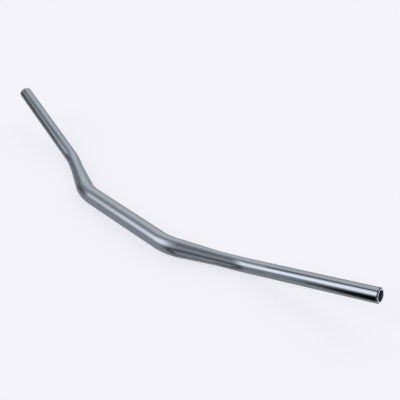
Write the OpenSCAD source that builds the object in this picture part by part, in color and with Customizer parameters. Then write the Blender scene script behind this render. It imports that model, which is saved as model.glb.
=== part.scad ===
// Tapered handlebar: one bent tube, thick in the middle and thin at the grips,
// with a threaded insert pressed into each end. The bar lies level, as on a bench.
// X runs along the clamp axis, Y points back to the rider and Z is up.
// The origin is the middle of the clamp section.

/* [Tube] */
// Outer diameter of the centre section, where the stem clamps hold the bar
clamp_d = 28.6; // [25.4:0.1:31.8]
// Outer diameter of the grips
grip_d = 22.2; // [22:0.1:25.4]
// Bore of the tube through the centre section
centre_bore_d = 20; // [16:0.5:21]
// Bore of the tube through the grips
grip_bore_d = 15; // [12:0.5:15.5]
// Length over which the tube narrows from the centre diameter to the grip diameter
taper_length = 62; // [30:1:80]

/* [Bends] */
// Straight length of the centre section, between the two inner bends
centre_straight = 165; // [100:5:200]
// Angle of each inner bend
inner_bend_angle = 24.5; // [5:0.5:60]
// Centreline radius of each inner bend
inner_bend_radius = 90; // [60:5:140]
// Straight length of each riser, between its inner and outer bend
riser_straight = 85; // [81:1:140]
// Turn of the outer bend's plane about the riser
bend_plane_turn = 137.5; // [90:0.5:180]
// Angle of each outer bend
outer_bend_angle = 18.5; // [5:0.5:60]
// Centreline radius of each outer bend
outer_bend_radius = 90; // [60:5:140]
// Straight length of each grip, from the outer bend to the end of the bar
grip_straight = 205; // [150:1:230]
// Turn of both sides about the clamp axis that lays the outer bends level with the centre section
lay_turn = -4.16; // [-30:0.01:30]

/* [Bar ends] */
// Chamfer around the outside of each end
end_chamfer = 1.5; // [0.5:0.1:2]
// Diameter of the reamed bore at each end, which takes a bar-end plug
plug_bore_d = 16; // [16:0.1:17]
// Depth of the reamed bore
plug_bore_depth = 30; // [20:1:40]
// Chamfer at the mouth of the reamed bore
mouth_chamfer = 0.5; // [0.2:0.1:0.8]

/* [Threaded inserts] */
// Length of each insert
insert_length = 25; // [20:1:40]
// Tapping diameter of the insert's M8 thread
thread_bore_d = 6.8; // [5:0.1:7.5]
// Chamfer around each end of the insert, outside and in the threaded hole
insert_chamfer = 0.8; // [0.3:0.1:1]
// Number of grooves around the insert, which keep it in the tube
groove_count = 2; // [1:1:3]
// Width of each groove
groove_width = 3; // [1:0.5:4]
// Depth of each groove
groove_depth = 0.6; // [0.3:0.1:1]

/* [Hidden] */
$fn = 96;
aluminium = [0.62, 0.66, 0.72];
zinc_steel = [0.72, 0.72, 0.68];
clamp_r = clamp_d / 2;
grip_r = grip_d / 2;
centre_bore_r = centre_bore_d / 2;
grip_bore_r = grip_bore_d / 2;
plug_bore_r = plug_bore_d / 2;
thread_bore_r = thread_bore_d / 2;
half_centre = centre_straight / 2;
// Straight lengths carry on past their joints and narrow a little, so that they sink into the
// bends, which are finer by the hair. All lengths then overlap and fuse into one solid.
lap = 0.5;
hair = 0.01;

// Places along the right side of the bar. Each is a frame with X along the tube, away from
// the centre, and Y towards the inside of the next bend.
module past_bend(angle, radius) {
    translate([0, radius, 0])
        rotate([0, 0, angle])
            translate([0, -radius, 0])
                children();
}

module at_inner_bend() {
    translate([half_centre, 0, 0])
        rotate([lay_turn, 0, 0])
            children();
}

module at_riser() {
    at_inner_bend()
        past_bend(inner_bend_angle, inner_bend_radius)
            children();
}

module at_outer_bend() {
    at_riser()
        translate([riser_straight, 0, 0])
            rotate([bend_plane_turn, 0, 0])
                children();
}

module at_grip() {
    at_outer_bend()
        past_bend(outer_bend_angle, outer_bend_radius)
            children();
}

module at_bar_end() {
    at_grip()
        translate([grip_straight, 0, 0])
            children();
}

// A solid turned about X. The profile is a list of points [distance along X, radius].
module turned(profile) {
    first = profile[0];
    last = profile[len(profile) - 1];
    rotate([0, 90, 0])
        rotate_extrude()
            polygon([
                [0, first[0]],
                for (point = profile) [point[1], point[0]],
                [0, last[0]]
            ]);
}

// A bend that starts along X and turns towards Y.
module bend(angle, radius, tube_r) {
    translate([0, radius, 0])
        rotate([0, 0, -90])
            rotate_extrude(angle = angle)
                translate([radius, 0])
                    circle(r = tube_r);
}

// The centre section, and its tails that sink into both inner bends.
module centre_length(tube_r) {
    turned([
        [-half_centre - lap, tube_r - 2 * hair],
        [-half_centre, tube_r],
        [half_centre, tube_r],
        [half_centre + lap, tube_r - 2 * hair]
    ]);
}

// The run from the centre section to the start of the grip.
module bent_run(start_r, finish_r) {
    at_inner_bend()
        bend(inner_bend_angle, inner_bend_radius, start_r - hair);
    at_riser()
        turned([
            [-lap, start_r - 2 * hair],
            [0, start_r],
            [taper_length, finish_r],
            [riser_straight, finish_r],
            [riser_straight + lap, finish_r - 2 * hair]
        ]);
    at_outer_bend()
        bend(outer_bend_angle, outer_bend_radius, finish_r - hair);
}

module outside_right() {
    bent_run(clamp_r, grip_r);
    at_grip()
        turned([
            [-lap, grip_r - 2 * hair],
            [0, grip_r],
            [grip_straight - end_chamfer, grip_r],
            [grip_straight, grip_r - end_chamfer]
        ]);
}

module bore_right() {
    bent_run(centre_bore_r, grip_bore_r);
    at_grip()
        turned([
            [-lap, grip_bore_r - 2 * hair],
            [0, grip_bore_r],
            [grip_straight - plug_bore_depth + lap, grip_bore_r]
        ]);
    at_bar_end()
        turned([
            [-plug_bore_depth, plug_bore_r],
            [-mouth_chamfer, plug_bore_r],
            [mouth_chamfer, plug_bore_r + 2 * mouth_chamfer]
        ]);
}

module both_sides() {
    children();
    mirror([1, 0, 0])
        children();
}

module handlebar_tube() {
    color(aluminium)
        difference() {
            union() {
                centre_length(clamp_r);
                both_sides()
                    outside_right();
            }
            union() {
                centre_length(centre_bore_r);
                both_sides()
                    bore_right();
            }
        }
}

// The insert sits behind the reamed bore, with its face level with the step.
module right_insert() {
    land = (insert_length - groove_count * groove_width) / (groove_count + 1);
    color(zinc_steel)
        at_bar_end()
            translate([-plug_bore_depth - insert_length, 0, 0])
                difference() {
                    turned([
                        [0, grip_bore_r - insert_chamfer],
                        [insert_chamfer, grip_bore_r],
                        [insert_length - insert_chamfer, grip_bore_r],
                        [insert_length, grip_bore_r - insert_chamfer]
                    ]);
                    turned([
                        [-insert_chamfer, thread_bore_r + 2 * insert_chamfer],
                        [insert_chamfer, thread_bore_r],
                        [insert_length - insert_chamfer, thread_bore_r],
                        [insert_length + insert_chamfer, thread_bore_r + 2 * insert_chamfer]
                    ]);
                    for (i = [1 : groove_count])
                        translate([i * land + (i - 1) * groove_width, 0, 0])
                            difference() {
                                turned([[0, plug_bore_r], [groove_width, plug_bore_r]]);
                                turned([
                                    [-lap, grip_bore_r - groove_depth],
                                    [groove_width + lap, grip_bore_r - groove_depth]
                                ]);
                            }
                }
}

module left_insert() {
    mirror([1, 0, 0])
        right_insert();
}

handlebar_tube();
left_insert();
right_insert();
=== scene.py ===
"""Looks for the tapered handlebar: a smooth swept tube, its metal, the inserts, light, floor and camera.

Metres, in the CAD frame: X along the clamp axis, Y back to the rider, Z up.
"""
import math

import bpy
from mathutils import Matrix, Vector


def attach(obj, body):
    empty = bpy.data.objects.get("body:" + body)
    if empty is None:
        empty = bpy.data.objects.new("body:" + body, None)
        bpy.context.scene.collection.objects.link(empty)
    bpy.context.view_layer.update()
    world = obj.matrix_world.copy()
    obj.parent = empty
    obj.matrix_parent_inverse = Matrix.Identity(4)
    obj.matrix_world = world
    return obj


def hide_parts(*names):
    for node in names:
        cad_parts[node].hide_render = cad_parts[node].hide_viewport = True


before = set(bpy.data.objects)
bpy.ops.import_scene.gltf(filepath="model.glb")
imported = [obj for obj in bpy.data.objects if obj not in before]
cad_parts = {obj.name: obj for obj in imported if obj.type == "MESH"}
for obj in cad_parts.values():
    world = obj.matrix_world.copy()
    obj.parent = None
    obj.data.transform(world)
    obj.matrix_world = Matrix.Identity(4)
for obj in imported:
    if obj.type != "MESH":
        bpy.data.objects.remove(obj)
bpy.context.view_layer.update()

# ---- the tube's dimensions, as in the CAD part
CLAMP_R = 0.0143
GRIP_R = 0.0111
CENTRE_BORE_R = 0.010
GRIP_BORE_R = 0.0075
PLUG_BORE_R = 0.008
PLUG_DEPTH = 0.030
END_CHAMFER = 0.0015
MOUTH_CHAMFER = 0.0005
HALF_CENTRE = 0.0825
INNER_ANGLE = math.radians(24.5)
OUTER_ANGLE = math.radians(18.5)
BEND_RADIUS = 0.090
RISER = 0.085
TAPER = 0.062
PLANE_TURN = math.radians(137.5)
GRIP = 0.205
LAY_TURN = math.radians(-4.16)

# ---- the visual mesh and finish
EDGE_SOFT = 0.00012  # how far each turned edge is rounded
ROUND = 144  # points around the tube
SHARP_EDGE = math.radians(38)
END_RING = 0.012  # an extra ring this far from the bar's end
POLISH_START = 0.264  # the polish fades in between these distances from the middle
POLISH_FULL = 0.274
FAR_POLISH = 0.45  # the left grip's share of the polish
UNROLLED_R = 0.012  # the radius at which the tube is unrolled for its patterns
PAPER = (0.895, 0.887, 0.938, 1)

INNER_END = HALF_CENTRE + BEND_RADIUS * INNER_ANGLE
RISER_END = INNER_END + RISER
OUTER_END = RISER_END + BEND_RADIUS * OUTER_ANGLE
BAR_END = OUTER_END + GRIP


# ---- the centreline
def bent(place, t, n, angle):
    """Place and axes after a bend of that angle from t towards n."""
    place = place + BEND_RADIUS * (math.sin(angle) * t + (1 - math.cos(angle)) * n)
    return place, math.cos(angle) * t + math.sin(angle) * n, math.cos(angle) * n - math.sin(angle) * t


def station(along):
    """The point, tangent and a steady cross direction at a distance along the right half."""
    t = Vector((1, 0, 0))
    n = Vector((0, math.cos(LAY_TURN), math.sin(LAY_TURN)))
    b = t.cross(n)
    if along <= HALF_CENTRE:
        return along * t, t, n
    p = HALF_CENTRE * t
    p, t, n = bent(p, t, n, min(along - HALF_CENTRE, BEND_RADIUS * INNER_ANGLE) / BEND_RADIUS)
    if along <= INNER_END:
        return p, t, n
    p = p + min(along - INNER_END, RISER) * t
    if along <= RISER_END:
        return p, t, n
    m = math.cos(PLANE_TURN) * n + math.sin(PLANE_TURN) * b
    k = t.cross(m)
    p, t, m = bent(p, t, m, min(along - RISER_END, BEND_RADIUS * OUTER_ANGLE) / BEND_RADIUS)
    n = math.cos(PLANE_TURN) * m - math.sin(PLANE_TURN) * k
    p = p + max(along - OUTER_END, 0) * t
    return p, t, n


def radius(along, centre_r, grip_r):
    share = min(max((along - INNER_END) / TAPER, 0), 1)
    return centre_r + (grip_r - centre_r) * share


def stations():
    """Distances along the right half, close together wherever the tube bends or narrows."""
    out = []
    for start, end, step in (
        (0, HALF_CENTRE, 0.0055),
        (HALF_CENTRE, INNER_END, 0.0011),
        (INNER_END, RISER_END, 0.002),
        (RISER_END, OUTER_END, 0.0011),
        (OUTER_END, BAR_END - PLUG_DEPTH, 0.005),
    ):
        count = max(1, round((end - start) / step))
        out += [start + (end - start) * i / count for i in range(count)]
    return out + [BAR_END - PLUG_DEPTH]


# ---- the tube, as one closed sweep
def softened(corners):
    """The line through these corners, each rounded a little between close support points."""
    out = [corners[0]]
    for (ax, ay), (x, y), (bx, by) in zip(corners, corners[1:], corners[2:]):
        da, db = math.dist((ax, ay), (x, y)), math.dist((bx, by), (x, y))
        ux, uy, vx, vy = (ax - x) / da, (ay - y) / da, (bx - x) / db, (by - y) / db
        for a, b in ((2, 0), (1, 0), (0.3, 0.3), (0, 1), (0, 2)):
            out.append((x + EDGE_SOFT * (a * ux + b * vx), y + EDGE_SOFT * (a * uy + b * vy)))
    return out + [corners[-1]]


def outline():
    """The right half's outline, from the middle of the outside to the middle of the bore."""
    places = stations()
    outside = [(s, radius(s, CLAMP_R, GRIP_R)) for s in places]
    step = BAR_END - PLUG_DEPTH
    end = softened([
        (BAR_END - END_RING, GRIP_R),
        (BAR_END - END_CHAMFER, GRIP_R),
        (BAR_END, GRIP_R - END_CHAMFER),
        (BAR_END, PLUG_BORE_R + MOUTH_CHAMFER),
        (BAR_END - MOUTH_CHAMFER, PLUG_BORE_R),
        (step, PLUG_BORE_R),
        (step, GRIP_BORE_R),
    ])
    inside = [(s, radius(s, CENTRE_BORE_R, GRIP_BORE_R)) for s in reversed(places[:-1])]
    return outside + end + inside


def tube():
    half = outline()
    # the left half is the right one mirrored; the two middle rings are shared
    path = [(1, s, r) for s, r in half] + [(-1, s, r) for s, r in reversed(half[1:-1])]
    verts, along, around, inside = [], [], [], []
    for side, s, r in path:
        p, t, n = station(s)
        b = t.cross(n)
        for i in range(ROUND):
            a = 2 * math.pi * i / ROUND
            v = p + r * (math.cos(a) * n + math.sin(a) * b)
            verts.append((side * v.x, v.y, v.z))
            along.append(side * s)
            around.append(a)
            inside.append(float(r < radius(s, CENTRE_BORE_R, PLUG_BORE_R) + MOUTH_CHAMFER / 2))
    faces = []
    rings = len(path)
    for k in range(rings):
        a0, b0 = k * ROUND, (k + 1) % rings * ROUND
        for i in range(ROUND):
            j = (i + 1) % ROUND
            faces.append((a0 + i, a0 + j, b0 + j, b0 + i))
    mesh = bpy.data.meshes.new("bar_tube")
    mesh.from_pydata(verts, [], faces)
    for name, values in (("along", along), ("around", around), ("inside", inside)):
        attribute = mesh.attributes.new(name, "FLOAT", "POINT")
        attribute.data.foreach_set("value", values)
    mesh.shade_smooth()
    mesh.set_sharp_from_angle(angle=SHARP_EDGE)
    obj = bpy.data.objects.new("bar_tube", mesh)
    bpy.context.scene.collection.objects.link(obj)
    return obj


# ---- materials
class Nodes:
    """A small helper for building node trees."""

    def __init__(self, tree):
        self.tree = tree
        tree.nodes.clear()

    def add(self, kind, **values):
        node = self.tree.nodes.new(kind)
        for key, value in values.items():
            setattr(node, key, value)
        return node

    def link(self, source, target):
        self.tree.links.new(source, target)

    def put(self, socket, value):
        if isinstance(value, bpy.types.NodeSocket):
            self.link(value, socket)
        else:
            socket.default_value = value

    def math(self, operation, a, b=0.0, clamp=False):
        node = self.add("ShaderNodeMath", operation=operation, use_clamp=clamp)
        self.put(node.inputs[0], a)
        self.put(node.inputs[1], b)
        return node.outputs[0]

    def ease(self, value, low, high, out_low=0.0, out_high=1.0):
        node = self.add("ShaderNodeMapRange", interpolation_type="SMOOTHSTEP")
        for i, v in enumerate((value, low, high, out_low, out_high)):
            self.put(node.inputs[i], v)
        return node.outputs[0]

    def noise(self, vector, scale, detail=3.0, rough=0.55):
        node = self.add("ShaderNodeTexNoise")
        self.link(vector, node.inputs["Vector"])
        node.inputs["Scale"].default_value = scale
        node.inputs["Detail"].default_value = detail
        node.inputs["Roughness"].default_value = rough
        return node.outputs["Fac"]

    def scaled(self, vector, scale):
        node = self.add("ShaderNodeVectorMath", operation="MULTIPLY")
        self.link(vector, node.inputs[0])
        node.inputs[1].default_value = scale
        return node.outputs[0]

    def blend(self, share, a, b):
        node = self.add("ShaderNodeMix", data_type="RGBA")
        self.put(node.inputs[0], share)
        self.put(node.inputs[6], a)
        self.put(node.inputs[7], b)
        return node.outputs[2]

    def bump(self, height, strength, distance, normal=None):
        node = self.add("ShaderNodeBump")
        node.inputs["Strength"].default_value = strength
        node.inputs["Distance"].default_value = distance
        self.link(height, node.inputs["Height"])
        if normal is not None:
            self.link(normal, node.inputs["Normal"])
        return node.outputs["Normal"]


def material(name):
    made = bpy.data.materials.new(name)
    made.use_nodes = True
    n = Nodes(made.node_tree)
    shader = n.add("ShaderNodeBsdfPrincipled")
    out = n.add("ShaderNodeOutputMaterial")
    n.link(shader.outputs[0], out.inputs["Surface"])
    return made, n, shader


def satin_aluminium():
    """Drawn and polished tube: draw lines along it, a satin middle, brighter grips, and a few faint rubs."""
    made, n, shader = material("satin_aluminium")
    along = n.add("ShaderNodeAttribute", attribute_name="along").outputs["Fac"]
    around = n.add("ShaderNodeAttribute", attribute_name="around").outputs["Fac"]
    object_point = n.add("ShaderNodeTexCoord").outputs["Object"]
    # a point on the unrolled tube, free of a seam
    unrolled = n.add("ShaderNodeCombineXYZ")
    n.link(along, unrolled.inputs[0])
    n.link(n.math("MULTIPLY", n.math("COSINE", around), UNROLLED_R), unrolled.inputs[1])
    n.link(n.math("MULTIPLY", n.math("SINE", around), UNROLLED_R), unrolled.inputs[2])
    point = unrolled.outputs[0]
    draw_lines = n.noise(n.scaled(point, (4, 900, 900)), 1.0, 2.0)
    polish_rings = n.noise(n.scaled(point, (2600, 20, 20)), 1.0, 2.0)
    cloud = n.noise(object_point, 16.0, 4.0)
    speck = n.noise(object_point, 1500.0, 2.0)
    right_polish = n.ease(along, POLISH_START, POLISH_FULL)
    left_polish = n.ease(along, -POLISH_FULL, -POLISH_START, FAR_POLISH, 0.0)
    polished = n.math("ADD", right_polish, left_polish)

    tone = n.blend(cloud, (0.468, 0.512, 0.584, 1), (0.548, 0.591, 0.662, 1))
    tone = n.blend(n.math("MULTIPLY", draw_lines, 0.22), tone, (0.40, 0.45, 0.52, 1))
    tone = n.blend(n.math("MULTIPLY", polished, 0.45), tone, (0.39, 0.43, 0.50, 1))
    n.link(tone, shader.inputs["Base Color"])
    shader.inputs["Metallic"].default_value = 1.0

    satin = n.math("ADD", n.math("MULTIPLY", cloud, 0.08), 0.205)
    bright = n.math("ADD", n.math("MULTIPLY", cloud, 0.04), 0.065)
    rough = n.add("ShaderNodeMix", data_type="FLOAT")
    n.link(polished, rough.inputs[0])
    n.link(satin, rough.inputs[2])
    n.link(bright, rough.inputs[3])
    rough = n.math("ADD", rough.outputs[0], n.math("MULTIPLY", speck, 0.03))
    bore = n.add("ShaderNodeAttribute", attribute_name="inside").outputs["Fac"]
    n.link(n.math("ADD", rough, n.math("MULTIPLY", bore, 0.35)), shader.inputs["Roughness"])

    normal = n.bump(draw_lines, 0.05, 0.00004)
    normal = n.bump(polish_rings, 0.04, 0.00003, normal)
    n.link(normal, shader.inputs["Normal"])
    return made


def zinc_steel():
    """Dull zinc plate with turning marks."""
    made, n, shader = material("zinc_steel")
    point = n.add("ShaderNodeTexCoord").outputs["Object"]
    cloud = n.noise(point, 220.0, 4.0)
    turning = n.noise(n.scaled(point, (2400, 60, 60)), 1.0, 2.0)
    n.link(n.blend(cloud, (0.46, 0.46, 0.43, 1), (0.62, 0.61, 0.56, 1)), shader.inputs["Base Color"])
    shader.inputs["Metallic"].default_value = 1.0
    n.link(n.math("ADD", n.math("MULTIPLY", cloud, 0.2), 0.3), shader.inputs["Roughness"])
    n.link(n.bump(turning, 0.15, 0.00005), shader.inputs["Normal"])
    return made


# ---- the object
bar = tube()
bar.data.materials.append(satin_aluminium())
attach(bar, "root")
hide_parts("handlebar_tube")

zinc = zinc_steel()
for name in ("left_insert", "right_insert"):
    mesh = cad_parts[name].data
    mesh.materials.clear()
    mesh.materials.append(zinc)

# ---- floor
floor_mesh = bpy.data.meshes.new("floor")
REACH = 12.0
FLOOR_GAP = 0.0001
floor_z = -CLAMP_R - FLOOR_GAP
floor_mesh.from_pydata(
    [(-REACH, -REACH, floor_z), (REACH, -REACH, floor_z), (REACH, REACH, floor_z), (-REACH, REACH, floor_z)],
    [],
    [(0, 1, 2, 3)],
)
floor = bpy.data.objects.new("floor", floor_mesh)
bpy.context.scene.collection.objects.link(floor)
floor.visible_glossy = False
paper, n, shader = material("pale_paper")
fibre = n.noise(n.add("ShaderNodeTexCoord").outputs["Object"], 90.0, 3.0)
n.link(n.blend(fibre, (0.446, 0.443, 0.466, 1), (0.454, 0.451, 0.474, 1)), shader.inputs["Base Color"])
shader.inputs["Roughness"].default_value = 0.9
shader.inputs["Specular IOR Level"].default_value = 0.0
shader.inputs["Emission Color"].default_value = PAPER
shader.inputs["Emission Strength"].default_value = 0.752
floor_mesh.materials.append(paper)


# ---- light: a soft studio, drawn in the world by direction
def direction(azimuth, elevation):
    """A unit vector: azimuth from +X towards +Y, and elevation above the horizon, in degrees."""
    a, e = math.radians(azimuth), math.radians(elevation)
    return (math.cos(e) * math.cos(a), math.cos(e) * math.sin(a), math.sin(e))


world = bpy.data.worlds.new("studio")
bpy.context.scene.world = world
world.use_nodes = True
w = Nodes(world.node_tree)
ray = w.add("ShaderNodeTexCoord").outputs["Generated"]


def towards(azimuth, elevation):
    node = w.add("ShaderNodeVectorMath", operation="DOT_PRODUCT")
    w.link(ray, node.inputs[0])
    node.inputs[1].default_value = direction(azimuth, elevation)
    return node.outputs["Value"]


def patch(azimuth, elevation, core, rim):
    """1 within core degrees of a direction, easing to 0 at rim degrees."""
    return w.ease(towards(azimuth, elevation), math.cos(math.radians(rim)), math.cos(math.radians(core)))


# (azimuth, elevation, core, rim, brightness): soft boxes that add light
BOXES = (
    (-125, 31, 5, 24, 1.22),
    (-137, 57, 4, 14, 1.00),
    (144, 33, 8, 32, 0.38),
    (131, -32, 14, 40, 0.17),
    (-72, -52, 10, 26, 0.35),
    (67, -30, 8, 20, 1.40),
    (45, 0, 6, 20, 0.90),
    (-38, 42, 5, 18, 0.80),
    (92, 42, 8, 26, 0.90),
)
# (azimuth, elevation, core, rim, depth): dark cards that take light away
CARDS = (
    (-155, 14, 6, 20, 0.65),
    (-157, -2, 6, 20, 0.60),
    (178, 8, 6, 24, 0.42),
    (-80, 12, 9, 22, 0.75),
    (-163, 54, 3, 12, 0.60),
    (-110, 73, 8, 24, 0.60),
    (-98, 9, 4, 8, 0.90),
    (-98, -1, 6, 9, 1.00),
    (-98, -12, 6, 9, 1.00),
    (-96, -23, 6, 9, 1.00),
    (-94, -34, 6, 9, 1.00),
    (-94, -45, 6, 9, 1.00),
    (-93, -56, 6, 9, 1.00),
    (-13, 14, 8, 22, 0.92),
    (18, 41, 8, 20, 0.92),
    (-13, -26, 8, 20, 0.90),
    (68, 29, 8, 18, 0.85),
    (92, -5, 8, 20, 0.85),
)
BASE_LIGHT = 0.39
light = BASE_LIGHT
for azimuth, elevation, core, rim, amount in BOXES:
    light = w.math("ADD", light, w.math("MULTIPLY", patch(azimuth, elevation, core, rim), amount))
for azimuth, elevation, core, rim, depth in CARDS:
    taken = w.math("MULTIPLY", patch(azimuth, elevation, core, rim), depth)
    light = w.math("MULTIPLY", light, w.math("SUBTRACT", 1.0, taken))
sky = w.add("ShaderNodeBackground")
sky.inputs["Color"].default_value = (0.98, 0.99, 1.0, 1)
w.link(light, sky.inputs["Strength"])
# past the floor's edge the camera sees plain paper, not the lights
plain = w.add("ShaderNodeBackground")
plain.inputs["Color"].default_value = PAPER
seen = w.add("ShaderNodeMixShader")
w.link(w.add("ShaderNodeLightPath").outputs["Is Camera Ray"], seen.inputs[0])
w.link(sky.outputs[0], seen.inputs[1])
w.link(plain.outputs[0], seen.inputs[2])
w.link(seen.outputs[0], w.add("ShaderNodeOutputWorld").inputs["Surface"])

# ---- camera, at the photograph's angle
camera_data = bpy.data.cameras.new("camera")
camera_data.sensor_width = 36.0
camera_data.lens = 69.82
camera = bpy.data.objects.new("camera", camera_data)
bpy.context.scene.collection.objects.link(camera)
right = Vector((0.68471, 0.72814, -0.03129))
forward = Vector((-0.61017, 0.54925, -0.57097))
up = right.cross(forward)
turn = Matrix((right, up, -forward)).transposed().to_4x4()
camera.matrix_world = Matrix.Translation((0.82584, -0.58127, 0.72562)) @ turn
bpy.context.scene.camera = camera
bpy.context.scene.view_settings.view_transform = "Standard"
